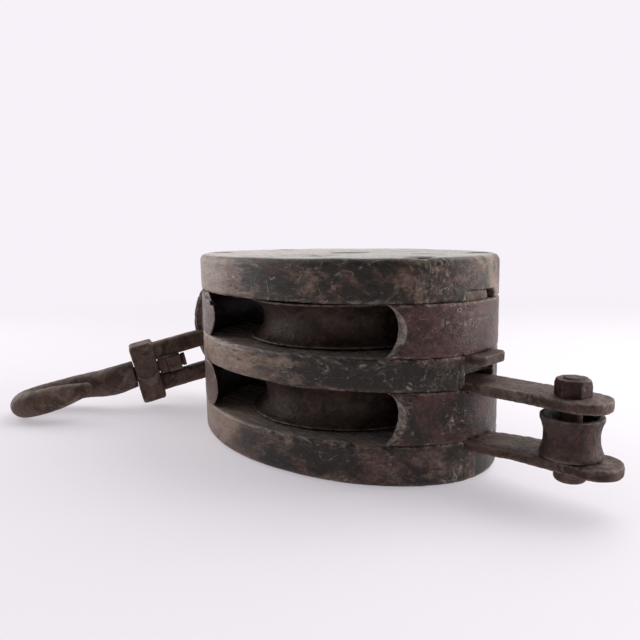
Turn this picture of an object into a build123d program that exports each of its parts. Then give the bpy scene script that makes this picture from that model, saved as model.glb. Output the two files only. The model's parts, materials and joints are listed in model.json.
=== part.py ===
"""Antique double rope block: wooden shell, iron straps, two sheaves, swivelling hook, becket.

The block lies on its side, as it rests on a floor.
Row frame in millimetres: the origin is the middle of the bottom cheek's outer face, +X runs
along the shell towards the becket, +Z is up through the stack of cheeks and sheaves.
"""
import math
import os

from build123d import *

# ---- shell, a ten inch block ---------------------------------------------------------------
SHELL_LENGTH = 254.0
SHELL_WIDTH = 170.5
CHEEK = 27.0
GAP = 32.0
MIDDLE = 21.0
OUTER_ROUND = 5.0
WORN_EDGE = 1.2

BOTTOM_TOP = CHEEK
MIDDLE_LOW = BOTTOM_TOP + GAP
MIDDLE_TOP = MIDDLE_LOW + MIDDLE
TOP_LOW = MIDDLE_TOP + GAP
SHELL_TOP = TOP_LOW + CHEEK
MID_Z = SHELL_TOP / 2
HALF_LENGTH = SHELL_LENGTH / 2

# ---- sheaves and their pin -----------------------------------------------------------------
SHEAVE_X = 14.0
SHEAVE_RADIUS = 73.3
SHEAVE_THICKNESS = 28.6
SHEAVE_LIFT = 1.0
GROOVE_RADIUS = 13.0
GROOVE_DEPTH = 10.5
WEB_RECESS = 4.0
RIM_WIDTH = 17.0
HUB_RADIUS = 25.0
BUSH_RADIUS = 15.0
PIN_RADIUS = 9.5
RUNNING_FIT = 0.05
PIN_HEAD_RADIUS = 14.5
PIN_HEAD = 4.0

# ---- fillers between the cheeks ------------------------------------------------------------
CROWN_SWALLOW = 98.0
SWALLOW_BULGE = 5.0
TAIL_WALL_X = 93.0
SCOOP_RADIUS = 17.0
SCOOP_ANGLE = 25.0
SCOOP_X = 96.0
SCOOP_Y = 60.0

# ---- iron straps ---------------------------------------------------------------------------
STRAP = 6.35
STRAP_WIDTH = 30.0
EAR_ROUND = STRAP_WIDTH / 2 - 0.2
TAB_ROUND = 7.0
FAR_X = 300.0
BOW_START_X = -130.0
BOW_LENGTH = 60.5
BOW_THICKNESS = 5.0
BOW_WIDTH = 13.0
EYE_X = -152.0
EYE_LENGTH = 28.3
EYE_HEIGHT = 20.8
EYE_BAR = 7.5
EYE_WIDTH = 10.0
TAPER_START_X = -125.5
TAPER_END_X = -133.0
FLARE_START_X = -127.5
FLARE_END_X = -137.0
STRAP_SHORT_END_X = 124.5
TAB_END_X = 136.0
UPPER_EAR_END_X = 205.4
LOWER_EAR_END_X = 212.2
UPPER_SET = -1.8
UPPER_SET_X = (100.0, 116.0)
LOWER_SET = 2.2
LOWER_SET_X = (129.0, 155.0)

# ---- becket at the tail --------------------------------------------------------------------
BECKET_X = 184.0
BOLT_RADIUS = 5.55
BOLT_HEAD_RADIUS = 8.9
BOLT_HEAD = 8.0
BOLT_PROUD = 0.8
NUT_FLATS = 17.46
NUT_HEIGHT = 9.6
SPOOL_RADIUS = 17.1
SPOOL_WAIST = 15.0
SPOOL_HEIGHT = 23.0
SPOOL_WALL = 2.6
SPOOL_HUB = 8.6
SPOOL_HUB_HEIGHT = 11.0
SPOOL_FLOOR = 4.0
SPOOL_PLAY = 0.4
UPPER_EAR_TOP = MIDDLE_LOW + STRAP + UPPER_SET

# ---- yoke hanging on the inner strap's eye, and its hook -----------------------------------
YOKE_START = Vector(-143.5, 0, 51.0)
YOKE_HEADING = 26.7
YOKE_DROOP = 12.4
BEND_SPACING = 26.0
LEG_SPACING = 29.5
BEND_THICKNESS = 10.5
LEG_THICKNESS = 15.5
LEG_WIDTH = 14.0
BEND_X = -8.0
SWELL_X = (15.0, 24.0)
CROSSHEAD_X = 75.8
CROSSHEAD_LENGTH = 20.5
CROSSHEAD_WIDTH = 24.0
CROSSHEAD_TOP = 25.0
CROSSHEAD_BOTTOM = 27.7
SHANK_RADIUS = 5.2
BLOCK_LENGTH = 12.4
BLOCK_GAP = 8.4
HOOK_RADIUS = 10.3
NECK_HEIGHT = 12.3
POINT_LENGTH = 33.0
TIP_RADIUS = 6.3
HOOK_ROLL = 5.0
BOWL_RADIUS = 21.0
BOWL_REACH = 85.0
BOWL_SIDE = -3.0

# ---- through rivets ------------------------------------------------------------------------
RIVET_RADIUS = 4.0
RING_RADIUS = 8.5
RING = 2.5
RIVET_PLACES = [(103.0, 32.0), (103.0, -32.0), (-98.0, 34.0), (-98.0, -34.0)]


def rod(x, y, low, high, radius):
    """Upright round bar between two heights."""
    return Pos(x, y, (low + high) / 2) * Cylinder(radius, high - low)


def slab(x0, x1, y0, y1, z0, z1):
    """Box between two corners."""
    centre = Pos((x0 + x1) / 2, (y0 + y1) / 2, (z0 + z1) / 2)
    return centre * Box(x1 - x0, y1 - y0, z1 - z0)


def shell_slice(low, high):
    """Slice of the oval shell between two heights."""
    outline = Ellipse(HALF_LENGTH, SHELL_WIDTH / 2)
    return Pos(0, 0, low) * extrude(outline, high - low)


def rivet_cuts():
    """Holes for the through rivets and the seats of their rings."""
    cuts = []
    for x, y in RIVET_PLACES:
        cuts.append(rod(x, y, -1, SHELL_TOP + 1, RIVET_RADIUS))
        cuts.append(rod(x, y, -1, RING, RING_RADIUS))
        cuts.append(rod(x, y, SHELL_TOP - RING, SHELL_TOP + 1, RING_RADIUS))
    return cuts


def pin_cuts():
    """Hole for the sheave pin and the seat of its head."""
    hole = rod(SHEAVE_X, 0, -1, SHELL_TOP + 1, PIN_RADIUS)
    seat = rod(SHEAVE_X, 0, SHELL_TOP - PIN_HEAD, SHELL_TOP + 1, PIN_HEAD_RADIUS)
    return [hole, seat]


def strap_channel(low, high):
    """Channel that lets a strap lie flush in the wood."""
    return slab(-HALF_LENGTH - 5, HALF_LENGTH + 5, -STRAP_WIDTH / 2, STRAP_WIDTH / 2, low, high)


def outer_edges(plate, height):
    """Edges of a plate's oval outline at one height."""
    return plate.edges().filter_by_position(Axis.Z, height - 0.01, height + 0.01)


def top_cheek():
    """Top cheek with a rounded outer edge, strap channel and pin seat."""
    plate = shell_slice(TOP_LOW, SHELL_TOP)
    plate = fillet(outer_edges(plate, SHELL_TOP), OUTER_ROUND)
    plate = chamfer(outer_edges(plate, TOP_LOW), WORN_EDGE)
    plate -= strap_channel(TOP_LOW - 1, TOP_LOW + STRAP)
    return plate - pin_cuts() - rivet_cuts()


def bottom_cheek():
    """Bottom cheek, the one that lies on the floor."""
    plate = shell_slice(0, BOTTOM_TOP)
    plate = fillet(outer_edges(plate, 0), OUTER_ROUND)
    plate = chamfer(outer_edges(plate, BOTTOM_TOP), WORN_EDGE)
    plate -= strap_channel(BOTTOM_TOP - STRAP, BOTTOM_TOP + 1)
    return plate - pin_cuts() - rivet_cuts()


def middle_plate():
    """Plate between the sheaves with a strap let into each face."""
    plate = shell_slice(MIDDLE_LOW, MIDDLE_TOP)
    rims = outer_edges(plate, MIDDLE_LOW) + outer_edges(plate, MIDDLE_TOP)
    plate = chamfer(rims, WORN_EDGE)
    plate -= strap_channel(MIDDLE_LOW - 1, MIDDLE_LOW + STRAP)
    plate -= strap_channel(MIDDLE_TOP - STRAP, MIDDLE_TOP + 1)
    notch_x = HALF_LENGTH - 8
    plate -= slab(notch_x, HALF_LENGTH + 5, -STRAP_WIDTH / 2, STRAP_WIDTH / 2, MIDDLE_LOW, MIDDLE_TOP)
    return plate - pin_cuts() - rivet_cuts()


def crown_filler(low):
    """Filler at the hook end, hollowed round the sheave with a rope's width to spare."""
    block = shell_slice(low, low + GAP)
    block -= slab(-30, HALF_LENGTH + 1, -SHELL_WIDTH, SHELL_WIDTH, low - 1, low + GAP + 1)
    edge = CROWN_SWALLOW + SWALLOW_BULGE
    with BuildSketch(Plane.XZ) as section:
        with BuildLine():
            Line((0, low), (edge, low))
            ThreePointArc((edge, low), (CROWN_SWALLOW, low + GAP / 2), (edge, low + GAP))
            Line((edge, low + GAP), (0, low + GAP))
            Line((0, low + GAP), (0, low))
        make_face()
    swallow = Pos(SHEAVE_X, 0, 0) * revolve(section.sketch, Axis.Z)
    return block - swallow - rivet_cuts()


def upper_crown_filler():
    """Upper hook-end filler, split by a drying crack that opens on its near side."""
    filler = crown_filler(MIDDLE_TOP)
    crack = Pos(-62, -76, MIDDLE_TOP + GAP - 8) * Rot(0, 48, 0) * Box(34, 16, 1.1)
    return filler - crack


def tail_filler(low):
    """Filler at the becket end with a rope scoop run out of each side."""
    block = shell_slice(low, low + GAP)
    block -= slab(-HALF_LENGTH - 1, TAIL_WALL_X, -SHELL_WIDTH, SHELL_WIDTH, low - 1, low + GAP + 1)
    for side in (-1, 1):
        scoop = Rot(0, 90, 0) * Cylinder(SCOOP_RADIUS, 90)
        turned = Rot(0, 0, side * SCOOP_ANGLE) * scoop
        block -= Pos(SCOOP_X, side * SCOOP_Y, low + GAP / 2) * turned
    return block - rivet_cuts()


def lower_tail_filler():
    """Lower tail filler, notched where the inner strap's leg is set down into it."""
    notch = slab(TAIL_WALL_X - 1, HALF_LENGTH + 1, -STRAP_WIDTH / 2, STRAP_WIDTH / 2,
                 MIDDLE_LOW + UPPER_SET, MIDDLE_LOW + 1)
    return tail_filler(BOTTOM_TOP) - notch


def sheave(low):
    """Grooved iron sheave with recessed faces round its hub."""
    half = SHEAVE_THICKNESS / 2
    web = half - WEB_RECESS
    rim = SHEAVE_RADIUS - RIM_WIDTH
    with BuildSketch(Plane.XZ) as section:
        with BuildLine():
            Polyline((BUSH_RADIUS, -half), (HUB_RADIUS, -half), (HUB_RADIUS + 3, -web), (rim - 3, -web),
                     (rim, -half), (SHEAVE_RADIUS - 1, -half), (SHEAVE_RADIUS, 1 - half))
            Line((SHEAVE_RADIUS, 1 - half), (SHEAVE_RADIUS, -GROOVE_RADIUS))
            ThreePointArc((SHEAVE_RADIUS, -GROOVE_RADIUS), (SHEAVE_RADIUS - GROOVE_DEPTH, 0),
                          (SHEAVE_RADIUS, GROOVE_RADIUS))
            Line((SHEAVE_RADIUS, GROOVE_RADIUS), (SHEAVE_RADIUS, half - 1))
            Polyline((SHEAVE_RADIUS, half - 1), (SHEAVE_RADIUS - 1, half), (rim, half), (rim - 3, web),
                     (HUB_RADIUS + 3, web), (HUB_RADIUS, half), (BUSH_RADIUS, half), (BUSH_RADIUS, -half))
        make_face()
    wheel = revolve(section.sketch, Axis.Z)
    return Pos(SHEAVE_X, 0, low + SHEAVE_LIFT + half) * wheel


def sheave_bush(low):
    """Bush pressed into a sheave, running on the pin."""
    bottom = low + SHEAVE_LIFT
    top = bottom + SHEAVE_THICKNESS
    body = rod(SHEAVE_X, 0, bottom, top, BUSH_RADIUS)
    return body - rod(SHEAVE_X, 0, bottom - 1, top + 1, PIN_RADIUS + RUNNING_FIT)


def sheave_pin():
    """Fixed pin through shell and straps, its head let flush into the top cheek."""
    shaft = rod(SHEAVE_X, 0, 0.4, SHELL_TOP - PIN_HEAD, PIN_RADIUS)
    head = rod(SHEAVE_X, 0, SHELL_TOP - PIN_HEAD, SHELL_TOP - 0.4, PIN_HEAD_RADIUS)
    return shaft + head


def shell_rivets():
    """Four through rivets, one separate solid each."""
    return Compound([rod(x, y, 0.2, SHELL_TOP - 0.2, RIVET_RADIUS) for x, y in RIVET_PLACES])


def rivet_rings():
    """Ring under each clenched rivet end, flush with the wood."""
    rings = []
    for x, y in RIVET_PLACES:
        for low in (0.2, SHELL_TOP - RING):
            disc = rod(x, y, low, low + RING - 0.2, RING_RADIUS)
            rings.append(disc - rod(x, y, low - 1, low + RING + 1, RIVET_RADIUS))
    return Compound(rings)


def taper_plan(width_at_crown):
    """Upright prism whose plan narrows from strap width to the forged bow."""
    wide = STRAP_WIDTH / 2
    narrow = width_at_crown / 2
    far_x = BOW_START_X - BOW_LENGTH - 10
    corners = [(FAR_X, -wide), (TAPER_START_X, -wide), (TAPER_END_X, -narrow), (far_x, -narrow),
               (far_x, narrow), (TAPER_END_X, narrow), (TAPER_START_X, wide), (FAR_X, wide)]
    return Pos(0, 0, -20) * extrude(make_face(Polyline(*corners, close=True)), SHELL_TOP + 40)


def ear_plan(end_x, round_radius):
    """Upright prism of strap width with a rounded end."""
    strip = slab(-HALF_LENGTH - 90, end_x, -STRAP_WIDTH / 2, STRAP_WIDTH / 2, -20, SHELL_TOP + 20)
    corners = strip.edges().filter_by(Axis.Z).sort_by(Axis.X)[-2:]
    return fillet(corners, round_radius)


def becket_hole():
    """Bolt hole through the ears."""
    return rod(BECKET_X, 0, 0, SHELL_TOP, BOLT_RADIUS + RUNNING_FIT)


def bow_outline(start_x, reach, half_height):
    """Closed side view: legs joined at the crown by half an ellipse, the lower set upwards."""
    top = MID_Z + half_height
    low = MID_Z - half_height
    set_start, set_end = LOWER_SET_X
    ear_low = low + LOWER_SET
    with BuildSketch(Plane.XZ) as view:
        with BuildLine():
            Line((FAR_X, top), (start_x, top))
            EllipticalCenterArc((start_x, MID_Z), reach, half_height, start_angle=90, arc_size=180)
            Line((start_x, low), (set_start, low))
            Line((set_start, low), (set_end, ear_low))
            Line((set_end, ear_low), (FAR_X, ear_low))
            Line((FAR_X, ear_low), (FAR_X, top))
        make_face()
    return extrude(view.sketch, STRAP_WIDTH, both=True)


def outer_strap():
    """Outer strap: bow round the crown, short upper leg, lower leg forming the lower ear."""
    outside = bow_outline(BOW_START_X, BOW_LENGTH, TOP_LOW + STRAP - MID_Z)
    inside = bow_outline(BOW_START_X, BOW_LENGTH - BOW_THICKNESS, TOP_LOW - MID_Z)
    band = (outside - inside) & taper_plan(BOW_WIDTH)
    upper = band & slab(-FAR_X, STRAP_SHORT_END_X, -40, 40, MID_Z, SHELL_TOP)
    clipped = Pos(STRAP_SHORT_END_X, STRAP_WIDTH / 2, MID_Z) * Rot(0, 0, 40) * Box(30, 10, 200)
    lower = band & ear_plan(LOWER_EAR_END_X, EAR_ROUND)
    lower &= slab(-FAR_X, FAR_X, -40, 40, 0, MID_Z)
    strap = (upper - clipped) + lower
    return strap - pin_cuts() - becket_hole()


def flared_outline(offset):
    """Side view of the eye: legs flare into half an ellipse, the lower set downwards."""
    leg = MIDDLE / 2 - offset
    swell = EYE_HEIGHT - (EYE_BAR if offset else 0)
    reach = EYE_LENGTH - (EYE_BAR if offset else 0)
    set_start, set_end = UPPER_SET_X
    low = MID_Z - leg
    ear_low = low + UPPER_SET
    with BuildSketch(Plane.XZ) as view:
        with BuildLine():
            Line((FAR_X, MID_Z + leg), (FLARE_START_X, MID_Z + leg))
            Spline((FLARE_START_X, MID_Z + leg), (FLARE_END_X, MID_Z + swell), tangents=[(-1, 0), (-1, 0)])
            Line((FLARE_END_X, MID_Z + swell), (EYE_X, MID_Z + swell))
            EllipticalCenterArc((EYE_X, MID_Z), reach, swell, start_angle=90, arc_size=180)
            Line((EYE_X, MID_Z - swell), (FLARE_END_X, MID_Z - swell))
            Spline((FLARE_END_X, MID_Z - swell), (FLARE_START_X, low), tangents=[(1, 0), (1, 0)])
            Line((FLARE_START_X, low), (set_start, low))
            Line((set_start, low), (set_end, ear_low))
            Line((set_end, ear_low), (FAR_X, ear_low))
            Line((FAR_X, ear_low), (FAR_X, MID_Z + leg))
        make_face()
    return extrude(view.sketch, STRAP_WIDTH, both=True)


def inner_strap():
    """Inner strap: eye inside the bow, upper leg ending in a tab, lower leg in the upper ear."""
    band = (flared_outline(0) - flared_outline(STRAP)) & taper_plan(EYE_WIDTH)
    upper = band & ear_plan(TAB_END_X, TAB_ROUND) & slab(-FAR_X, FAR_X, -40, 40, MID_Z, SHELL_TOP)
    lower = band & ear_plan(UPPER_EAR_END_X, EAR_ROUND) & slab(-FAR_X, FAR_X, -40, 40, 0, MID_Z)
    return (upper + lower) - pin_cuts() - becket_hole()


def becket_bolt():
    """Round-headed bolt through the ears."""
    ear_low = BOTTOM_TOP + LOWER_SET - STRAP
    end = UPPER_EAR_TOP + NUT_HEIGHT + BOLT_PROUD
    head = rod(BECKET_X, 0, ear_low - BOLT_HEAD, ear_low, BOLT_HEAD_RADIUS)
    head = fillet(head.edges().sort_by(Axis.Z)[0], 2.5)
    shank = rod(BECKET_X, 0, ear_low, end, BOLT_RADIUS)
    shank = chamfer(shank.edges().sort_by(Axis.Z)[-1], 0.7)
    return head + shank


def becket_nut():
    """Hexagon nut on the upper ear."""
    bottom = UPPER_EAR_TOP
    hexagon = extrude(RegularPolygon(NUT_FLATS / 2, 6, major_radius=False), NUT_HEIGHT)
    corner = NUT_FLATS / math.sqrt(3)
    dome = Cone(corner + 6, corner - 1.2, NUT_HEIGHT * 2)
    nut = hexagon & dome
    nut = Pos(BECKET_X, 0, bottom) * Rot(0, 0, 20) * nut
    return nut - rod(BECKET_X, 0, bottom - 1, bottom + NUT_HEIGHT + 1, BOLT_RADIUS)


def becket_spool():
    """Waisted hollow spool, open at the top, turning on the bolt by its own hub."""
    bottom = BOTTOM_TOP + LOWER_SET + SPOOL_PLAY
    half = SPOOL_HEIGHT / 2
    inside_rim = SPOOL_RADIUS - SPOOL_WALL
    inside_waist = SPOOL_WAIST - SPOOL_WALL
    hub = SPOOL_HUB
    bore = BOLT_RADIUS + RUNNING_FIT
    with BuildSketch(Plane.XZ) as section:
        with BuildLine():
            Line((bore, 0), (SPOOL_RADIUS, 0))
            Line((SPOOL_RADIUS, 0), (SPOOL_RADIUS, 2))
            ThreePointArc((SPOOL_RADIUS, 2), (SPOOL_WAIST, half), (SPOOL_RADIUS, SPOOL_HEIGHT - 2))
            Line((SPOOL_RADIUS, SPOOL_HEIGHT - 2), (SPOOL_RADIUS, SPOOL_HEIGHT))
            Line((SPOOL_RADIUS, SPOOL_HEIGHT), (inside_rim, SPOOL_HEIGHT))
            ThreePointArc((inside_rim, SPOOL_HEIGHT), (inside_waist, half), (inside_rim - 1, SPOOL_FLOOR))
            Line((inside_rim - 1, SPOOL_FLOOR), (hub, SPOOL_FLOOR))
            Line((hub, SPOOL_FLOOR), (hub, SPOOL_HUB_HEIGHT))
            Line((hub, SPOOL_HUB_HEIGHT), (bore, SPOOL_HUB_HEIGHT))
            Line((bore, SPOOL_HUB_HEIGHT), (bore, 0))
        make_face()
    return Pos(BECKET_X, 0, bottom) * revolve(section.sketch, Axis.Z)


def yoke_frame():
    """Yoke's own frame: X along its legs towards the hook, Z across from leg to leg."""
    heading = math.radians(YOKE_HEADING)
    droop = math.radians(YOKE_DROOP)
    level = Vector(-math.sin(heading), -math.cos(heading), 0)
    along = level * math.cos(droop) + Vector(0, 0, -math.sin(droop))
    across = level * math.sin(droop) + Vector(0, 0, math.cos(droop))
    return Plane(origin=YOKE_START, x_dir=along, z_dir=across)


def leg_section(x, side, spacing, thickness):
    """Rounded section of the yoke's bar, square to its legs."""
    plane = Plane(origin=(x, 0, side * spacing / 2), x_dir=(0, 1, 0), z_dir=(1, 0, 0))
    return plane * RectangleRounded(LEG_WIDTH, thickness, 4.5)


def yoke():
    """Forged stirrup: two legs, a round closed end and a heavy crosshead bored for the hook."""
    inner_x = CROSSHEAD_X - CROSSHEAD_LENGTH / 2
    swell_start, swell_end = SWELL_X
    bent = leg_section(BEND_X, 1, BEND_SPACING, BEND_THICKNESS)
    metal = revolve(bent, Axis((BEND_X, 0, 0), (0, 1, 0)), revolution_arc=-180)
    for side in (-1, 1):
        slim = leg_section(swell_start, side, BEND_SPACING, BEND_THICKNESS)
        stout = leg_section(swell_end, side, LEG_SPACING, LEG_THICKNESS)
        metal += extrude(leg_section(BEND_X, side, BEND_SPACING, BEND_THICKNESS), swell_start - BEND_X)
        metal += loft([slim, stout])
        metal += extrude(stout, inner_x - swell_end + 2)
    head = slab(inner_x, inner_x + CROSSHEAD_LENGTH, -CROSSHEAD_WIDTH / 2, CROSSHEAD_WIDTH / 2,
                -CROSSHEAD_BOTTOM, CROSSHEAD_TOP)
    metal += fillet(head.edges(), 2.6)
    bore = Rot(0, 90, 0) * Cylinder(SHANK_RADIUS + RUNNING_FIT, CROSSHEAD_LENGTH + 6)
    bore = Pos(CROSSHEAD_X, 0, 0) * bore
    return yoke_frame() * (metal - bore)


def hook_block():
    """Square block held between the legs, backing the hook's clenched end."""
    inner_x = CROSSHEAD_X - CROSSHEAD_LENGTH / 2
    half_gap = (LEG_SPACING - LEG_THICKNESS) / 2 - 0.3
    neck = slab(inner_x - BLOCK_GAP - 1, inner_x - 0.1, -7, 7, -half_gap, half_gap)
    block_end = inner_x - BLOCK_GAP
    body = slab(block_end - BLOCK_LENGTH, block_end, -10.5, 10.5, -half_gap, half_gap)
    body = fillet(body.edges(), 1.0)
    bore = Pos(inner_x - 10, 0, 0) * Rot(0, 90, 0) * Cylinder(SHANK_RADIUS + RUNNING_FIT, 60)
    return yoke_frame() * (neck + body - bore)


def hook_station(place, heading, radius, height=None, lift=0.0):
    """One oval section of the hook, square to its centre line: its height is across the yoke."""
    x, y = place
    angle = math.radians(heading)
    plane = Plane(origin=(x, y, lift), x_dir=(-math.sin(angle), math.cos(angle), 0),
                  z_dir=(math.cos(angle), math.sin(angle), 0))
    return plane * Ellipse(radius, height or radius)


def hook():
    """Hook turning in the yoke: clenched shank, deep neck, back, bowl and tapered point."""
    outer_x = CROSSHEAD_X + CROSSHEAD_LENGTH / 2 + 0.3
    inner_end = CROSSHEAD_X - CROSSHEAD_LENGTH / 2 - BLOCK_GAP - BLOCK_LENGTH
    bowl_x = CROSSHEAD_X + BOWL_REACH
    shank_length = outer_x - inner_end + 4
    shank = Pos(outer_x - shank_length / 2 + 2, 0, 0) * Rot(0, 90, 0) * Cylinder(SHANK_RADIUS, shank_length)
    clench = Pos(inner_end - 2.4, 0, 0) * Rot(0, 90, 0) * Cylinder(SHANK_RADIUS + 1.1, 4)
    back_y = BOWL_SIDE - BOWL_RADIUS
    stations = [
        hook_station((outer_x, 0), 0, HOOK_RADIUS, NECK_HEIGHT, -1.0),
        hook_station((outer_x + 12, -1), -12, HOOK_RADIUS, NECK_HEIGHT + 0.5, -1.8),
        hook_station((outer_x + 30, -10), -32, HOOK_RADIUS, NECK_HEIGHT + 0.2, -2.2),
        hook_station((outer_x + 48, -20), -24, HOOK_RADIUS, HOOK_RADIUS + 1.0, -1.0),
        hook_station((bowl_x, back_y), 0, HOOK_RADIUS + 0.3),
    ]
    for turn in (45, 90, 135, 180):
        angle = math.radians(turn - 90)
        place = (bowl_x + BOWL_RADIUS * math.cos(angle), BOWL_SIDE + BOWL_RADIUS * math.sin(angle))
        stations.append(hook_station(place, turn, HOOK_RADIUS + 0.5))
    point_y = BOWL_SIDE + BOWL_RADIUS
    tip_x = bowl_x - POINT_LENGTH
    stations.append(hook_station((bowl_x - POINT_LENGTH / 2, point_y + 0.5), 180, HOOK_RADIUS - 0.8))
    stations.append(hook_station((tip_x, point_y + 1.5), 176, TIP_RADIUS))
    bar = loft(stations)
    tip = Pos(tip_x, point_y + 1.5, 0) * Sphere(TIP_RADIUS)
    forged = bar + tip + shank + clench
    return yoke_frame() * Rot(HOOK_ROLL, 0, 0) * forged


def build():
    """Write every named sub-part."""
    parts = {
        "top_cheek": top_cheek(),
        "middle_plate": middle_plate(),
        "bottom_cheek": bottom_cheek(),
        "upper_crown_filler": upper_crown_filler(),
        "lower_crown_filler": crown_filler(BOTTOM_TOP),
        "upper_tail_filler": tail_filler(MIDDLE_TOP),
        "lower_tail_filler": lower_tail_filler(),
        "outer_strap": outer_strap(),
        "inner_strap": inner_strap(),
        "upper_sheave": sheave(MIDDLE_TOP),
        "lower_sheave": sheave(BOTTOM_TOP),
        "upper_sheave_bush": sheave_bush(MIDDLE_TOP),
        "lower_sheave_bush": sheave_bush(BOTTOM_TOP),
        "sheave_pin": sheave_pin(),
        "shell_rivets": shell_rivets(),
        "rivet_rings": rivet_rings(),
        "becket_bolt": becket_bolt(),
        "becket_nut": becket_nut(),
        "becket_spool": becket_spool(),
        "yoke": yoke(),
        "hook_block": hook_block(),
        "hook": hook(),
    }
    os.makedirs("parts", exist_ok=True)
    for name, shape in parts.items():
        export_step(shape, f"parts/{name}.step")


build()
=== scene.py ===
"""A weathered wooden double rope block lying on its side, with rusted straps, hook and becket.

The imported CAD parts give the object's sizes and places. Most are replaced by finer copies whose
surfaces are worn, dented, split and pitted, each riding on the same body as the part it stands for.
"""
import json
import math

import bpy
import numpy as np
from mathutils import Matrix, Vector

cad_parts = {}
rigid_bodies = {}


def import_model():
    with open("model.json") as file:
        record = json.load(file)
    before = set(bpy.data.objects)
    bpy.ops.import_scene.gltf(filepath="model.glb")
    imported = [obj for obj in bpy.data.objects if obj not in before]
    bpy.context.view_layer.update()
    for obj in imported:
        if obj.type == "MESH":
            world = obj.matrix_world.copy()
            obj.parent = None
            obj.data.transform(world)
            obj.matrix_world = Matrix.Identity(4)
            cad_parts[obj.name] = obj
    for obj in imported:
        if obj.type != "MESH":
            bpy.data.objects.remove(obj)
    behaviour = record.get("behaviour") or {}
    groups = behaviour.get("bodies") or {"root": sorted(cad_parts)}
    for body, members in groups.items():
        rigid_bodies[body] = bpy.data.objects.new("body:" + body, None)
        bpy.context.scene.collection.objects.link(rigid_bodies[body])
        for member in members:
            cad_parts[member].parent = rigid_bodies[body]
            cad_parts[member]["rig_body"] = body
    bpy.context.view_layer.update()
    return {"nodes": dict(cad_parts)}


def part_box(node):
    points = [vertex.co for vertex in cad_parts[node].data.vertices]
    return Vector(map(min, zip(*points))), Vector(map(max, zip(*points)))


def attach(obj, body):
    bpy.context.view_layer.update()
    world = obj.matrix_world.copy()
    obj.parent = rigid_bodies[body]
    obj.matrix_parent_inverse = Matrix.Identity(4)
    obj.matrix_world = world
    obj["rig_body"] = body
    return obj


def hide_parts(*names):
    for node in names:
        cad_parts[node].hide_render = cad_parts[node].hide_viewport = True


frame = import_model()

MM = 0.001

# The shell's length is the unit for the camera, the lights and the floor.
shell_low, shell_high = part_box("bottom_cheek")
SHELL_LENGTH = shell_high.x - shell_low.x
SHELL_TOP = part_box("top_cheek")[1].z
SHEAVE_CENTRE = (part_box("upper_sheave")[0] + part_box("upper_sheave")[1]) / 2
SPOOL_CENTRE = (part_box("becket_spool")[0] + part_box("becket_spool")[1]) / 2

# Radii about those upright middle lines, in mm.
BUSH_OUTER = 15.0
BOLT_OUTER = 5.55
SPOOL_HUB = 8.6

# A drying split in the upper crown filler: its height and place where it starts, and its slope.
SPLIT_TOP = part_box("upper_crown_filler")[1].z - 0.5 * MM
SPLIT_START_X = -0.34 * SHELL_LENGTH
SPLIT_SLOPE = 0.15

# Camera, in shell lengths from the origin, and in degrees.
CAMERA_PLACE = Vector((1.3242, -1.2986, 0.6138)) * SHELL_LENGTH
CAMERA_HEADING = -47.09
CAMERA_DROP = 8.151
CAMERA_ROLL = -1.087
CAMERA_LENS = 35.49
SENSOR_WIDTH = 36.0

# Studio: a pale room, brighter behind the block than behind the camera.
ROOM_COLOUR = (0.93, 0.885, 0.945, 1.0)
ROOM_LIGHT_COLOUR = (1.0, 0.985, 0.98, 1.0)
ROOM_BACK_LIGHT = 1.12
ROOM_FRONT_LIGHT = 0.2
# The cosines, from straight behind the block, between which the front light turns to back light.
ROOM_TURN = (-0.5, 0.45)

# Soft lights: name, place and size in shell lengths, and power in watts.
WINDOWS = (
    ("high_window", (0.9, 2.4, 3.8), 3.4, 6.5),
    ("left_window", (-3.8, -1.4, 1.5), 2.6, 3.6),
    ("right_window", (3.3, 2.5, 1.2), 2.0, 7.0),
)

FLOOR_RADIUS = 14 * SHELL_LENGTH
FLOOR_RINGS = 24
FLOOR_SPOKES = 96
FLOOR_FADE = (1.5 * SHELL_LENGTH, 4.5 * SHELL_LENGTH)
FLOOR_GLOW = 0.42
FLOOR_COLOUR = (0.82, 0.785, 0.825, 1.0)

# What lies on the wood and iron, or shows where they are worn; some of these colours also paint shade,
# sheen and light.
# Grime patches, and painted shade towards the tail.
GRIME_AND_SHADE = (0.0115, 0.011, 0.008)
# Sun bleaching and pale grain, and painted light towards the head and high on the tail's end.
BLEACHED_AND_LIT = (0.31, 0.218, 0.163)
SCUFFED = (0.52, 0.45, 0.39)
RUBBED_WOOD = (0.43, 0.34, 0.28)
# Pale dust on faces that look up, which also paints the sheen those faces catch.
DUST_AND_SHEEN = (0.45, 0.405, 0.39)
# Near black: dark pits and grain, and painted shade in hollows, creases and shaded inner walls.
SOOT_AND_SHADE = (0.012, 0.009, 0.008)
RED_RUST = (0.12, 0.046, 0.034)
RUBBED_IRON = (0.27, 0.22, 0.19)
OILY_BRASS = (0.06, 0.045, 0.03)
BARE_BRASS = (0.3, 0.2, 0.09)

# Wood: dark, plain and reddish. Iron: deep rust, plain rust and grey scale.
CHEEK_TONES = ((0.046, 0.026, 0.02), (0.165, 0.1, 0.074), (0.1, 0.038, 0.031))
FILLER_TONES = ((0.036, 0.016, 0.013), (0.088, 0.042, 0.035), (0.085, 0.027, 0.025))
STRAP_TONES = ((0.036, 0.019, 0.014), (0.09, 0.055, 0.042), (0.18, 0.142, 0.115))
SHEAVE_TONES = ((0.014, 0.0085, 0.006), (0.044, 0.027, 0.019), (0.1, 0.074, 0.053))
PIN_TONES = ((0.05, 0.036, 0.03), (0.11, 0.085, 0.072), (0.2, 0.175, 0.155))
NUT_TONES = ((0.025, 0.0095, 0.008), (0.05, 0.019, 0.0155), (0.1, 0.062, 0.05))
SPOOL_TONES = ((0.03, 0.017, 0.014), (0.068, 0.041, 0.034), (0.11, 0.088, 0.072))
FORGED_TONES = ((0.042, 0.024, 0.018), (0.115, 0.071, 0.054), (0.21, 0.17, 0.137))

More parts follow.
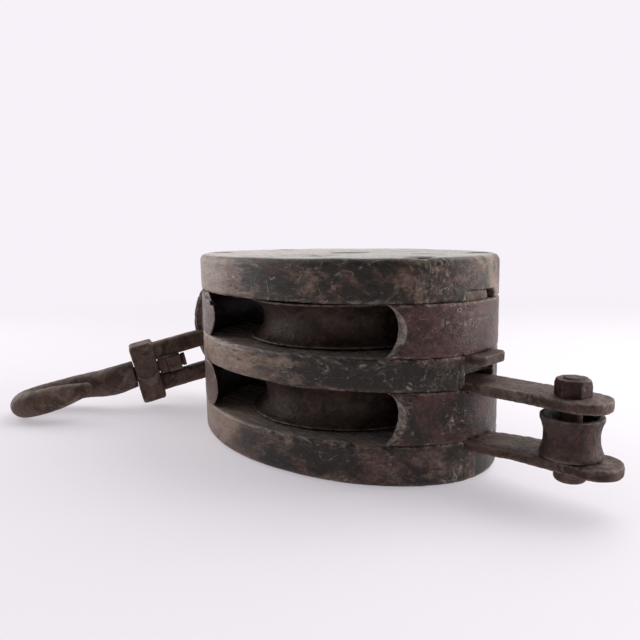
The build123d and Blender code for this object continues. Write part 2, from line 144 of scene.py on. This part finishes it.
# Where a worn surface starts to count, and fully counts: as an edge or a crease, in cells that it
# stands out of or lies below its surroundings, as sunken, in mm, and as facing up, by its normal.
EDGE_BULGE = (0.1, 0.5)
CREASE_DEPTH = (0.12, 0.6)
SUNKEN = (0.06, 0.35)
FACING_UP = (0.85, 0.98)

# How dark the painted shade in hollows, creases and shaded walls gets, and how far from a bore's wall, in
# mm, wear starts and is full.
PAINTED_SHADE_SHARE = 0.85
BORE_MARGIN = (0.5, 2.5)

# How far rust has sunk forged iron, in mm, so that its lumps clear the pieces that turn in it.
RUSTED_AWAY = 0.35

# Rounds of averaging that tell a surface's surroundings, an edge's width and where hollows get painted
# shade.
BULGE_ROUNDS = 10
EDGE_ROUNDS = 2
SUNKEN_ROUNDS = 8

# Whole numbers that scatter a lattice point's value, and how many of its bits are kept.
LATTICE_PRIMES = np.array([374761393, 668265263, 1274126177])
SEED_STEP = 362437
SCATTER = 1103515245
LOW_32_BITS = 0xFFFFFFFF
LOW_24_BITS = 0xFFFFFF


# ---------------------------------------------------------------- material building blocks

def add(tree, kind, inputs=None, **settings):
    """A new node with its settings, and its inputs given as values or linked from sockets."""
    made = tree.nodes.new(kind)
    for name, value in settings.items():
        setattr(made, name, value)
    for socket, value in (inputs or {}).items():
        if isinstance(value, bpy.types.NodeSocket):
            tree.links.new(value, made.inputs[socket])
        else:
            made.inputs[socket].default_value = value
    return made


def new_material(name):
    """A new node material, its tree and its main shader."""
    material = bpy.data.materials.new(name)
    material.use_nodes = True
    return material, material.node_tree, material.node_tree.nodes["Principled BSDF"]


def object_place(tree):
    """The point on the piece, in metres, which moves with its body."""
    return add(tree, "ShaderNodeTexCoord").outputs["Object"]


def cloud(tree, place, feature, detail, rough, twist=0.0, shift=0.0, stretch=(1, 1, 1)):
    """Soft noise from 0 to 1 whose blotches are about `feature` mm, stretched along each axis."""
    scale = [1 / (feature * MM * s) for s in stretch]
    spread = add(tree, "ShaderNodeMapping", {
        "Vector": place,
        "Location": (shift, shift * 0.7, shift * 1.3),
        "Scale": scale,
    })
    noise = add(tree, "ShaderNodeTexNoise", {
        "Vector": spread.outputs[0],
        "Scale": 1.0,
        "Detail": detail,
        "Roughness": rough,
        "Distortion": twist,
    })
    return noise.outputs["Fac"]


def band(tree, value, low, high, start=0.0, end=1.0):
    """Goes smoothly from start to end as the value goes from low to high."""
    ramp = add(tree, "ShaderNodeMapRange", {
        "Value": value,
        "From Min": low,
        "From Max": high,
        "To Min": start,
        "To Max": end,
    }, interpolation_type="SMOOTHSTEP")
    return ramp.outputs["Result"]


def maths(tree, operation, first, second=0.0):
    """One Math node's result."""
    return add(tree, "ShaderNodeMath", {0: first, 1: second}, operation=operation).outputs[0]


def colour(value):
    """A colour socket as it is, or three numbers made into a colour with full alpha."""
    return value if isinstance(value, bpy.types.NodeSocket) else (*value, 1.0)


def blend(tree, share, under, over):
    """A colour between under and over."""
    mix = add(tree, "ShaderNodeMix", {0: share, 6: colour(under), 7: colour(over)}, data_type="RGBA")
    return mix.outputs[2]


def lines(tree, place, feature, width, stretch, shift, twist):
    """Thin wandering lines: 1 where noise crosses its middle value, 0 elsewhere."""
    noise = cloud(tree, place, feature, detail=2.0, rough=0.5, twist=twist, shift=shift, stretch=stretch)
    off_centre = maths(tree, "ABSOLUTE", maths(tree, "SUBTRACT", noise, 0.5))
    return band(tree, off_centre, 0.0, width, start=1.0, end=0.0)


def attribute(tree, name):
    """A number stored on the piece's mesh when it was worn: 0 on a piece that has none."""
    return add(tree, "ShaderNodeAttribute", attribute_name=name).outputs["Fac"]


def relief(tree, height, distance):
    """A bumped normal, from a height of 0 to 1 that stands for `distance` mm."""
    bump = add(tree, "ShaderNodeBump", {"Height": height, "Distance": distance * MM, "Strength": 1.0})
    return bump.outputs["Normal"]


# ---------------------------------------------------------------- camera, light and floor

def view_axes():
    """The camera's right, up and backward directions, from its heading, drop and roll."""
    heading, drop, roll = (math.radians(a) for a in (CAMERA_HEADING, CAMERA_DROP, CAMERA_ROLL))
    forward = Vector((
        math.sin(heading) * math.cos(drop),
        math.cos(heading) * math.cos(drop),
        -math.sin(drop),
    ))
    level = Vector((math.cos(heading), -math.sin(heading), 0))
    upright = level.cross(forward)
    right = math.cos(roll) * level + math.sin(roll) * upright
    up = -math.sin(roll) * level + math.cos(roll) * upright
    return right, up, -forward


def make_camera():
    """The scene's camera, at the height of a small object seen across a table."""
    data = bpy.data.cameras.new("camera")
    data.sensor_width = SENSOR_WIDTH
    data.lens = CAMERA_LENS
    data.clip_start = 0.05 * SHELL_LENGTH
    data.clip_end = 100 * SHELL_LENGTH
    camera = bpy.data.objects.new("camera", data)
    bpy.context.scene.collection.objects.link(camera)
    turned = Matrix(view_axes()).transposed()
    camera.matrix_world = Matrix.Translation(CAMERA_PLACE) @ turned.to_4x4()
    bpy.context.scene.camera = camera


def make_room():
    """An even pale surround that lights the block mostly from behind and from the sides."""
    world = bpy.data.worlds.new("room")
    bpy.context.scene.world = world
    world.use_nodes = True
    tree = world.node_tree
    tree.nodes.clear()
    place = add(tree, "ShaderNodeTexCoord").outputs["Generated"]
    forward = -view_axes()[2]
    behind = add(tree, "ShaderNodeVectorMath", {0: place, 1: forward}, operation="DOT_PRODUCT")
    strength = band(tree, behind.outputs["Value"], *ROOM_TURN, ROOM_FRONT_LIGHT, ROOM_BACK_LIGHT)
    lighting = add(tree, "ShaderNodeBackground", {"Color": ROOM_LIGHT_COLOUR, "Strength": strength})
    seen = add(tree, "ShaderNodeBackground", {"Color": ROOM_COLOUR, "Strength": 1.0})
    path = add(tree, "ShaderNodeLightPath")
    either = add(tree, "ShaderNodeMixShader", {
        0: path.outputs["Is Camera Ray"],
        1: lighting.outputs[0],
        2: seen.outputs[0],
    })
    add(tree, "ShaderNodeOutputWorld", {"Surface": either.outputs[0]})


def make_softbox(name, place, size, power):
    """A square area light, in shell lengths, turned towards the middle of the shell."""
    data = bpy.data.lights.new(name, "AREA")
    data.size = size * SHELL_LENGTH
    data.energy = power
    light = bpy.data.objects.new(name, data)
    bpy.context.scene.collection.objects.link(light)
    light.location = Vector(place) * SHELL_LENGTH
    aim = Vector((0, 0, SHELL_TOP / 2)) - light.location
    light.rotation_mode = "QUATERNION"
    light.rotation_quaternion = aim.to_track_quat("-Z", "Y")


def floor_material():
    """Matt white paper lit a little from within, its far part as bright as the room."""
    material, tree, shader = new_material("floor_paper")
    shader.inputs["Base Color"].default_value = FLOOR_COLOUR
    shader.inputs["Roughness"].default_value = 0.9
    place = object_place(tree)
    reach = add(tree, "ShaderNodeVectorMath", {0: place}, operation="LENGTH").outputs["Value"]
    fade = band(tree, reach, *FLOOR_FADE, FLOOR_GLOW, 1.0)
    glow = add(tree, "ShaderNodeEmission", {"Color": ROOM_COLOUR, "Strength": 1.0})
    both = add(tree, "ShaderNodeMixShader", {0: fade, 1: shader.outputs[0], 2: glow.outputs[0]})
    tree.links.new(both.outputs[0], tree.nodes["Material Output"].inputs["Surface"])
    return material


def make_floor():
    """A round pale floor that fades into the room's colour far from the block."""
    verts = [(0, 0, 0)]
    faces = []
    for ring in range(1, FLOOR_RINGS + 1):
        radius = FLOOR_RADIUS * (ring / FLOOR_RINGS) ** 2
        for spoke in range(FLOOR_SPOKES):
            angle = 2 * math.pi * spoke / FLOOR_SPOKES
            verts.append((radius * math.cos(angle), radius * math.sin(angle), 0))
    for spoke in range(FLOOR_SPOKES):
        following = (spoke + 1) % FLOOR_SPOKES
        faces.append((0, 1 + spoke, 1 + following))
        for ring in range(FLOOR_RINGS - 1):
            inner = 1 + ring * FLOOR_SPOKES
            outer = inner + FLOOR_SPOKES
            faces.append((inner + spoke, outer + spoke, outer + following, inner + following))
    mesh = bpy.data.meshes.new("floor")
    mesh.from_pydata(verts, [], faces)
    mesh.materials.append(floor_material())
    floor = bpy.data.objects.new("floor", mesh)
    bpy.context.scene.collection.objects.link(floor)


# ---------------------------------------------------------------- wood

def timber_colour(tree, place, tones, streaks, shift):
    """Clean timber: dark and plain streaks with a reddish undertone."""
    dark, plain, reddish = tones
    mottling = cloud(tree, place, 13, detail=9, rough=0.74, twist=0.9, shift=shift + 5, stretch=(2.6, 1, 1))
    body = blend(tree, band(tree, streaks, 0.4, 0.6), dark, plain)
    return blend(tree, band(tree, mottling, 0.46, 0.62, end=0.7), body, reddish)


def tail_shade_and_light(tree, place):
    """Painted shade, darker towards the tail, and painted light high up on its very end: added to the grime
    mask and taken from the bleaching mask.
    """
    parts = add(tree, "ShaderNodeSeparateXYZ", {"Vector": place}).outputs
    lit_height = band(tree, parts["Z"], 0.25 * SHELL_TOP, 0.85 * SHELL_TOP)
    towards_tail = band(tree, parts["X"], -0.3 * SHELL_LENGTH, 0.25 * SHELL_LENGTH, start=-0.15, end=0.08)
    tail_end = band(tree, parts["X"], 0.4 * SHELL_LENGTH, 0.5 * SHELL_LENGTH, end=0.07)
    return maths(tree, "SUBTRACT", towards_tail, maths(tree, "MULTIPLY", tail_end, lit_height))


def weathered(tree, place, body, grime_shade_low, bleach_share, shift):
    """Timber under patches of black grime and of sun bleaching, darker towards the tail and lighter towards
    the head and high on the tail's end with painted shade and light.
    """
    tail = tail_shade_and_light(tree, place)
    patches = cloud(tree, place, 34, detail=12, rough=0.78, twist=0.7, shift=shift + 9, stretch=(1.7, 1, 1))
    # Painted shade towards the tail joins the grime patches.
    grime_and_shade = maths(tree, "ADD", patches, tail)
    body = blend(tree, band(tree, grime_and_shade, grime_shade_low, grime_shade_low + 0.12, end=0.92), body, GRIME_AND_SHADE)
    bleach = cloud(tree, place, 24, detail=8, rough=0.74, twist=0.6, shift=shift + 14, stretch=(2.4, 1, 1))
    # Painted light towards the head and high on the tail's end joins the bleaching.
    bleach_and_light = maths(tree, "SUBTRACT", bleach, tail)
    return blend(tree, band(tree, bleach_and_light, 0.47, 0.64, end=bleach_share), body, BLEACHED_AND_LIT)


def scratches(tree, place, shift):
    """Thin scratches along the shell and up its sides, in some zones only."""
    crossed = maths(
        tree, "MAXIMUM",
        lines(tree, place, 34, width=0.0035, stretch=(1.8, 1, 1), shift=shift + 30, twist=0.7),
        lines(tree, place, 22, width=0.003, stretch=(1, 1, 2.4), shift=shift + 33, twist=0.6),
    )
    zones = band(tree, cloud(tree, place, 15, detail=4, rough=0.6, twist=0.5, shift=shift + 36), 0.52, 0.64)
    return maths(tree, "MULTIPLY", crossed, zones)


def handled(tree, place, body, scuffs, scratched, shift):
    """Timber scuffed, scratched and rubbed pale, dusted and given a painted sheen on top, and worn by rope.
    """
    zones = cloud(tree, place, 26, detail=4, rough=0.6, twist=0.8, shift=shift + 24)
    scuffed = maths(tree, "MULTIPLY", band(tree, scuffs, 0.53, 0.64), band(tree, zones, 0.44, 0.58))
    pale = maths(tree, "MAXIMUM", maths(tree, "MULTIPLY", scuffed, 0.7), scratched)
    body = blend(tree, maths(tree, "MULTIPLY", pale, 0.7), body, SCUFFED)
    rubbed = maths(tree, "MULTIPLY", attribute(tree, "edge"), band(tree, scuffs, 0.46, 0.62))
    body = blend(tree, maths(tree, "MULTIPLY", rubbed, 0.75), body, RUBBED_WOOD)
    # Dust and a painted sheen, pale on faces that look up.
    dust_and_sheen = band(tree, scuffs, 0.3, 0.7, start=0.2, end=0.55)
    dust_and_sheen_share = maths(tree, "MULTIPLY", attribute(tree, "upward"), dust_and_sheen)
    body = blend(tree, dust_and_sheen_share, body, DUST_AND_SHEEN)
    rope_rub = band(tree, scuffs, 0.4, 0.6, start=0.12, end=0.85)
    roped = maths(tree, "MULTIPLY", attribute(tree, "roped"), rope_rub)
    return blend(tree, roped, body, SCUFFED)


def wood(name, tones, grime_shade_low, bleach_share, shift):
    """Old oiled timber with its grain along X: pale with bleaching, scuffed, and black with grime in
    patches, with painted shade in hollows and towards the tail, and painted light towards the head, high on
    the tail's end and as sheen on top.

    tones holds the dark and the plain colour and the reddish undertone.
    """
    material, tree, shader = new_material(name)
    place = object_place(tree)
    streaks = cloud(tree, place, 4, detail=7, rough=0.7, twist=0.4, shift=shift, stretch=(10, 1, 1))
    fibres = cloud(tree, place, 1.6, detail=5, rough=0.7, twist=0.2, shift=shift + 3, stretch=(18, 1, 1))
    scuffs = cloud(tree, place, 5, detail=10, rough=0.78, twist=1.4, shift=shift + 20, stretch=(2.4, 1, 1))
    scratched = scratches(tree, place, shift)
    body = timber_colour(tree, place, tones, streaks, shift)
    body = weathered(tree, place, body, grime_shade_low, bleach_share, shift)
    body = handled(tree, place, body, scuffs, scratched, shift)
    body = blend(tree, band(tree, fibres, 0.46, 0.3, end=0.7), body, SOOT_AND_SHADE)
    body = blend(tree, band(tree, fibres, 0.56, 0.74, end=0.3), body, BLEACHED_AND_LIT)
    # Painted shade, near black, in hollows, creases and dents, and on walls facing the sheaves or lining
    # the spool.
    body = blend(tree, attribute(tree, "painted_shade"), body, SOOT_AND_SHADE)
    tree.links.new(body, shader.inputs["Base Color"])

    dull = band(tree, streaks, 0.3, 0.7, start=0.34, end=0.5)
    smooth = maths(tree, "MULTIPLY", attribute(tree, "upward"), 0.16)
    tree.links.new(maths(tree, "SUBTRACT", dull, smooth), shader.inputs["Roughness"])
    height = maths(tree, "ADD", maths(tree, "MULTIPLY", fibres, 0.7), maths(tree, "MULTIPLY", scuffs, 0.6))
    height = maths(tree, "SUBTRACT", height, maths(tree, "MULTIPLY", scratched, 0.4))
    tree.links.new(relief(tree, height, 0.5), shader.inputs["Normal"])
    shader.inputs["Specular IOR Level"].default_value = 0.3
    return material


# ---------------------------------------------------------------- metal

def iron(name, tones, pale_share, shift, polish=0.0):
    """Rusted iron: pitted and scaly, mottled between its tones, paler where it is rubbed, with painted
    shade in its hollows and creases.

    tones holds the deep and the plain rust colours and the colour of the grey scale.
    """
    material, tree, shader = new_material(name)
    place = object_place(tree)
    deep, plain, scale_grey = tones
    clouds = cloud(tree, place, 18, detail=9, rough=0.74, twist=0.7, shift=shift)
    pits = cloud(tree, place, 1.8, detail=6, rough=0.62, twist=0.3, shift=shift + 4)
    flakes = cloud(tree, place, 7, detail=9, rough=0.74, twist=1.3, shift=shift + 8)
    greys = cloud(tree, place, 16, detail=9, rough=0.76, twist=0.9, shift=shift + 12)
    body = blend(tree, band(tree, clouds, 0.42, 0.58), deep, plain)
    body = blend(tree, band(tree, greys, 0.5, 0.62, end=pale_share), body, scale_grey)
    body = blend(tree, band(tree, flakes, 0.5, 0.64, end=0.6), body, RED_RUST)
    body = blend(tree, band(tree, pits, 0.4, 0.28, end=0.7), body, SOOT_AND_SHADE)
    rubbed = maths(tree, "MULTIPLY", attribute(tree, "edge"), band(tree, flakes, 0.36, 0.6))
    body = blend(tree, maths(tree, "MULTIPLY", rubbed, 0.6), body, RUBBED_IRON)
    # Painted shade, near black, in hollows and creases.
    body = blend(tree, attribute(tree, "painted_shade"), body, SOOT_AND_SHADE)
    tree.links.new(body, shader.inputs["Base Color"])
    roughness = band(tree, pits, 0.3, 0.65, start=0.8 - polish, end=0.54 - polish)
    tree.links.new(roughness, shader.inputs["Roughness"])
    shader.inputs["Metallic"].default_value = 0.15
    shader.inputs["Specular IOR Level"].default_value = 0.32
    height = maths(tree, "ADD", maths(tree, "MULTIPLY", pits, 0.6), flakes)
    tree.links.new(relief(tree, height, 0.42), shader.inputs["Normal"])
    return material


def brass(name):
    """Dull bush metal with black oil in its scratches."""
    material, tree, shader = new_material(name)
    place = object_place(tree)
    oil = band(tree, cloud(tree, place, 7, detail=6, rough=0.6, twist=0.5), 0.38, 0.62)
    turned = cloud(tree, place, 0.6, detail=3, rough=0.5, twist=0.0, shift=2.0, stretch=(8, 8, 1))
    tree.links.new(blend(tree, oil, OILY_BRASS, BARE_BRASS), shader.inputs["Base Color"])
    tree.links.new(band(tree, turned, 0.3, 0.7, start=0.35, end=0.6), shader.inputs["Roughness"])
    shader.inputs["Metallic"].default_value = 0.85
    tree.links.new(relief(tree, turned, 0.08), shader.inputs["Normal"])
    return material


def make_materials():
    """Every finish in the record, by its slot."""
    return {
        "cheek_wood": wood("cheek_wood", CHEEK_TONES, grime_shade_low=0.44, bleach_share=0.72, shift=1.7),
        "filler_wood": wood("filler_wood", FILLER_TONES, grime_shade_low=0.56, bleach_share=0.1, shift=8.3),
        "strap_iron": iron("strap_iron", STRAP_TONES, pale_share=0.7, shift=0.4),
        "sheave_iron": iron("sheave_iron", SHEAVE_TONES, pale_share=0.35, shift=2.6, polish=0.06),
        "bush_brass": brass("bush_brass"),
        "pin_iron": iron("pin_iron", PIN_TONES, pale_share=0.6, shift=3.9, polish=0.1),
        "fastener_iron": iron("fastener_iron", STRAP_TONES, pale_share=0.5, shift=5.2),
        "nut_iron": iron("nut_iron", NUT_TONES, pale_share=0.3, shift=6.1, polish=0.05),
        "spool_iron": iron("spool_iron", SPOOL_TONES, pale_share=0.45, shift=7.7),
        "forged_iron": iron("forged_iron", FORGED_TONES, pale_share=0.6, shift=9.4),
    }


# ---------------------------------------------------------------- noise and measures on a mesh

def lattice(corner, seed):
    """A repeatable value from 0 to 1 for each whole-number point of a lattice."""
    mixed = corner @ LATTICE_PRIMES + seed * SEED_STEP
    mixed = mixed & LOW_32_BITS
    mixed = ((mixed ^ (mixed >> 13)) * SCATTER) & LOW_32_BITS
    return ((mixed ^ (mixed >> 16)) & LOW_24_BITS) / LOW_24_BITS


def smooth_noise(points, feature, seed, octaves=3, stretch=(1, 1, 1)):
    """Noise from 0 to 1 at each point, with lumps about `feature` mm across."""
    total = np.zeros(len(points))
    weight = 0.0
    for octave in range(octaves):
        share = 0.5 ** octave
        p = points / (feature * MM * np.array(stretch)) * 2 ** octave
        base = np.floor(p).astype(np.int64)
        part = p - base
        part = part * part * (3 - 2 * part)
        value = np.zeros(len(points))
        for step in np.ndindex(2, 2, 2):
            near = np.where(np.array(step), part, 1 - part).prod(axis=1)
            value += near * lattice(base + np.array(step), seed + octave)
        total += share * value
        weight += share
    return total / weight


def rise(value, low, high):
    """0 below low, 1 above high, and smooth between."""
    t = np.clip((value - low) / (high - low), 0, 1)
    return t * t * (3 - 2 * t)


def crossing(value, width):
    """1 where the value is at its middle, falling to 0 at `width` away: a thin line."""
    return 1 - rise(np.abs(value - 0.5), 0, width)


def averaged(values, edges, rounds):
    """Each vertex's value averaged with its neighbours' a number of times."""
    count = np.bincount(edges.ravel(), minlength=len(values))[:, None]
    for _ in range(rounds):
        total = np.stack([
            np.bincount(edges[:, 0], values[edges[:, 1], axis], len(values))
            + np.bincount(edges[:, 1], values[edges[:, 0], axis], len(values))
            for axis in range(values.shape[1])
        ], axis=1)
        values = 0.5 * values + 0.5 * total / np.maximum(count, 1)
    return values


def distance_from(centre, points):
    """How far each point is from the upright line through a centre, in metres."""
    return np.hypot(points[:, 0] - centre.x, points[:, 1] - centre.y)


def facing(points, normals, centre):
    """How squarely each surface faces an upright line through a centre, from -1 to 1."""
    inward = np.array(centre)[:2] - points[:, :2]
    inward /= np.linalg.norm(inward, axis=1, keepdims=True)
    return (inward * normals[:, :2]).sum(axis=1)


def oval_reach(points):
    """1 on the shell's oval outside, falling to 0 at its upright middle line."""
    half_size = (np.array(shell_high)[:2] - np.array(shell_low)[:2]) / 2
    return ((points[:, :2] / half_size) ** 2).sum(axis=1)


# ---------------------------------------------------------------- wear, in mm, and marks

def worn_wood(points, edge, seed):
    """How far old timber's surface stands out, in mm: undulating, chipped, gouged and split."""
    swell = 0.7 * (smooth_noise(points, 34, seed) - 0.5)
    grain = 0.3 * (smooth_noise(points, 4.5, seed + 10, octaves=2, stretch=(9, 1, 1)) - 0.5)
    chipped = rise(smooth_noise(points, 9, seed + 20), 0.54, 0.68) * edge
    gouges = crossing(smooth_noise(points, 30, seed + 30, octaves=2, stretch=(1.5, 1, 1)), 0.012)
    gouges *= rise(smooth_noise(points, 22, seed + 40), 0.5, 0.62)
    splits = crossing(smooth_noise(points, 9, seed + 50, octaves=2, stretch=(11, 1, 1)), 0.018)
    splits *= rise(smooth_noise(points, 40, seed + 60), 0.56, 0.66)
    return swell + grain - 0.7 * chipped - 0.3 * gouges - 0.75 * splits


def split_wood(points, edge, seed):
    """Worn timber with a drying split that falls gently towards the swallow on its near side."""
    split_height = SPLIT_TOP - SPLIT_SLOPE * (points[:, 0] - SPLIT_START_X)
    off = np.abs(points[:, 2] - split_height) / MM
    wander = 1.6 * (smooth_noise(points, 7, seed + 70, octaves=2) - 0.5)
    opening = 1 - rise(off + wander, 0.6, 1.7)
    near = (points[:, 1] < 0) * rise(oval_reach(points), 0.93, 0.985)
    return worn_wood(points, edge, seed) - 2.2 * opening * near


def worn_iron(points, edge, seed, lumps=0.5):
    """How far rusted iron's surface stands out, in mm: lumpy, scaly, pitted and nicked."""
    lumpy = lumps * (smooth_noise(points, 13, seed) - 0.5)
    scaly = 0.28 * (smooth_noise(points, 3.4, seed + 10) - 0.5)
    pitted = rise(smooth_noise(points, 3, seed + 20, octaves=2), 0.62, 0.8)
    nicked = rise(smooth_noise(points, 6, seed + 30), 0.52, 0.66) * edge
    return lumpy + scaly - 0.25 * pitted - 0.35 * nicked


def forged(points, edge, seed):
    """Hand-forged iron, more uneven than a rolled strap, and wasted by rust."""
    return worn_iron(points, edge, seed, lumps=0.9) - RUSTED_AWAY


def turned_groove(points, edge, seed):
    """A cast sheave: slightly lumpy, with the rope's marks round its groove."""
    radius = distance_from(SHEAVE_CENTRE, points)
    rings = np.stack([radius, points[:, 2], np.zeros(len(points))], axis=1)
    marks = 0.22 * (smooth_noise(rings, 2.6, seed + 40, octaves=2) - 0.5)
    return marks + worn_iron(points, edge, seed, lumps=0.45)


def sheave_shade_and_rope_rub(points, normals):
    """Painted shade on a filler's walls that face the sheaves, and scoops that the rope has rubbed pale."""
    # Painted shade on walls that face the sheaves, inside the swallow.
    wall_shade = rise(facing(points, normals, SHEAVE_CENTRE), 0.45, 0.75)
    in_scoop = rise(1 - oval_reach(points), 0.015, 0.07) * (points[:, 0] > SHEAVE_CENTRE.x)
    return wall_shade, in_scoop * (1 - wall_shade)


def spool_inside_shade(points, normals):
    """Painted shade on the spool's inner walls and round its middle, and nothing rubbed pale."""
    away = distance_from(SPOOL_CENTRE, points) / MM
    in_wall = rise(facing(points, normals, SPOOL_CENTRE), 0.2, 0.5)
    return np.maximum(in_wall, 1 - rise(away, SPOOL_HUB + 1, SPOOL_HUB + 2)), np.zeros(len(points))


def no_marks(points, normals):
    """Neither painted shade nor rope wear."""
    return np.zeros(len(points)), np.zeros(len(points))


# ---------------------------------------------------------------- pieces

def finer_copy(node, voxel, softening):
    """A copy of a CAD part's shape in even cells of `voxel` mm, smoothed a number of times."""
    piece = bpy.data.objects.new(node + "_worn", frame["nodes"][node].data.copy())
    bpy.context.scene.collection.objects.link(piece)
    finer = piece.modifiers.new("finer", "REMESH")
    finer.mode = "VOXEL"
    finer.voxel_size = voxel * MM
    softer = piece.modifiers.new("softer", "SMOOTH")
    softer.iterations = softening
    graph = bpy.context.evaluated_depsgraph_get()
    mesh = bpy.data.meshes.new_from_object(piece.evaluated_get(graph))
    piece.modifiers.clear()
    piece.data = mesh
    return piece


def read_mesh(mesh):
    """The vertices' places and normals, and the two ends of each edge, as arrays."""
    points = np.empty(len(mesh.vertices) * 3)
    mesh.vertices.foreach_get("co", points)
    normals = np.empty(len(mesh.vertices) * 3)
    mesh.vertex_normals.foreach_get("vector", normals)
    edges = np.empty(len(mesh.edges) * 2, np.int32)
    mesh.edges.foreach_get("vertices", edges)
    return points.reshape(-1, 3), normals.reshape(-1, 3), edges.reshape(-1, 2)


def store(mesh, marks_and_shade):
    """Keeps each mark on the mesh, painted shade among them, a number for each vertex, for its material to
    read.
    """
    for name, values in marks_and_shade.items():
        layer = mesh.attributes.new(name, "FLOAT", "POINT")
        layer.data.foreach_set("value", values.astype(np.float32))


def wear_down(mesh, voxel, wear, seed, bore, marks):
    """Moves a mesh's surface in and out as a wear function says, and stores where it gets painted shade,
    edge wear and rope wear, and where it faces up.
    """
    points, normals, edges = read_mesh(mesh)
    bulge = ((points - averaged(points, edges, BULGE_ROUNDS)) * normals).sum(axis=1) / (voxel * MM)
    edge = rise(averaged(bulge[:, None], edges, EDGE_ROUNDS)[:, 0], *EDGE_BULGE)
    height = wear(points, edge, seed)
    if bore is not None:
        centre, radius = bore
        beyond_wall = distance_from(centre, points) / MM - radius
        height = height * rise(beyond_wall, *BORE_MARGIN)
    mesh.vertices.foreach_set("co", (points + normals * height[:, None] * MM).ravel())

    wall_shade, pale = marks(points, normals)
    # Painted shade where the surface lies below its surroundings or folds inward, and on the walls that the
    # marks give.
    sunken = averaged(height[:, None], edges, SUNKEN_ROUNDS)[:, 0] - height
    painted_shade = np.maximum(rise(sunken, *SUNKEN), rise(-bulge, *CREASE_DEPTH))
    store(mesh, {
        "edge": edge,
        "painted_shade": PAINTED_SHADE_SHARE * np.maximum(painted_shade, wall_shade),
        "roped": pale,
        "upward": rise(normals[:, 2], *FACING_UP),
    })


def worn_copy(node, material_slot, voxel, softening, wear, seed, bore=None, marks=no_marks):
    """A finely meshed copy of a CAD node, worn by a function, that stands for the node.

    voxel is in mm. bore is (centre, radius) of an upright hole whose wall stays true.
    marks tells where the piece gets painted shade and where rope has rubbed it.
    """
    source = frame["nodes"][node]
    piece = finer_copy(node, voxel, softening)
    mesh = piece.data
    wear_down(mesh, voxel, wear, seed, bore, marks)
    mesh.shade_smooth()
    mesh.materials.clear()
    mesh.materials.append(materials[material_slot])
    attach(piece, source["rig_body"])
    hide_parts(node)


def finish_cad_node(node, material_slot):
    """A CAD part that keeps its own shape, given its finish."""
    mesh_materials = frame["nodes"][node].data.materials
    mesh_materials.clear()
    mesh_materials.append(materials[material_slot])


# ---------------------------------------------------------------- the scene

make_camera()
make_room()
for window in WINDOWS:
    make_softbox(*window)
make_floor()
bpy.context.scene.view_settings.view_transform = "Standard"

materials = make_materials()

for seed, node in enumerate(("bottom_cheek", "middle_plate", "top_cheek"), 100):
    worn_copy(node, "cheek_wood", voxel=1.1, softening=2, wear=worn_wood, seed=seed)

for storey, (level, crown_wear) in enumerate((("lower", worn_wood), ("upper", split_wood))):
    worn_copy(level + "_crown_filler", "filler_wood", voxel=0.7, softening=2, wear=crown_wear,
              seed=110 + storey, marks=sheave_shade_and_rope_rub)
    worn_copy(level + "_tail_filler", "filler_wood", voxel=0.9, softening=2, wear=worn_wood,
              seed=120 + storey, marks=sheave_shade_and_rope_rub)
    worn_copy(level + "_sheave", "sheave_iron", voxel=1.0, softening=2, wear=turned_groove,
              seed=130 + storey, bore=(SHEAVE_CENTRE, BUSH_OUTER))
    finish_cad_node(level + "_sheave_bush", "bush_brass")

worn_copy("outer_strap", "strap_iron", voxel=0.8, softening=2, wear=worn_iron, seed=140)
worn_copy("inner_strap", "strap_iron", voxel=0.8, softening=2, wear=worn_iron, seed=141)
worn_copy("yoke", "forged_iron", voxel=0.6, softening=3, wear=forged, seed=150)
worn_copy("hook_block", "forged_iron", voxel=0.6, softening=2, wear=forged, seed=151)
worn_copy("hook", "forged_iron", voxel=0.6, softening=3, wear=forged, seed=152)
worn_copy("becket_nut", "nut_iron", voxel=0.4, softening=2, wear=worn_iron, seed=160)
worn_copy("becket_spool", "spool_iron", voxel=0.5, softening=2, wear=worn_iron, seed=161,
          bore=(SPOOL_CENTRE, BOLT_OUTER), marks=spool_inside_shade)
finish_cad_node("becket_bolt", "fastener_iron")
for node in ("sheave_pin", "shell_rivets", "rivet_rings"):
    finish_cad_node(node, "pin_iron")
